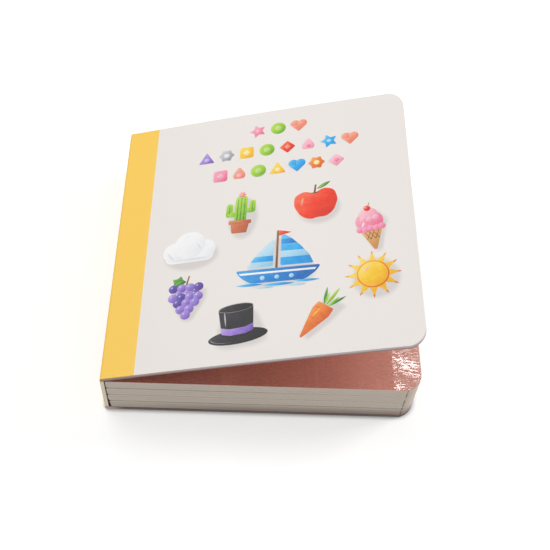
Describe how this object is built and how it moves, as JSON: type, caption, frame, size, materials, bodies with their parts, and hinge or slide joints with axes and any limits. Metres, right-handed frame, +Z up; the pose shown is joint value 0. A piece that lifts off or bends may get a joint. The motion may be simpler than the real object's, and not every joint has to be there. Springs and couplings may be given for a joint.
{
  "type": "board book",
  "caption": "Small square children's board book lying flat, with stiff rounded leaves, a flat spine board and two hinged covers, the front one standing ajar.",
  "frame": {"origin": "middle of the book's footprint, on the surface it lies on", "axes": "+X from the spine to the fore edge, +Y from the tail to the head, +Z up through the leaves"},
  "size_m": [0.15, 0.153, 0.0704],
  "materials": {
    "cover_board": "satin-laminated printed board, off-white",
    "spine_wrap": "satin-laminated printed board, warm yellow",
    "page_board": "cut grey-beige board edges, matt"
  },
  "bodies": {
    "book_block": {"page_block": "page_board", "spine_board": "spine_wrap"},
    "front_cover": {"front_cover": "cover_board"},
    "back_cover": {"back_cover": "cover_board"}
  },
  "joints": [
    {"name": "front_cover_hinge", "type": "hinge", "parent": "book_block", "child": "front_cover", "pos_m": [-0.07385, 0, 0.02881], "axis": [0, -1, 0], "range_deg": [-15.8, 164.2]},
    {"name": "back_cover_hinge", "type": "hinge", "parent": "book_block", "child": "back_cover", "pos_m": [-0.07385, 0, 0.00115], "axis": [0, 1, 0], "range_deg": [0, 180]}
  ]
}
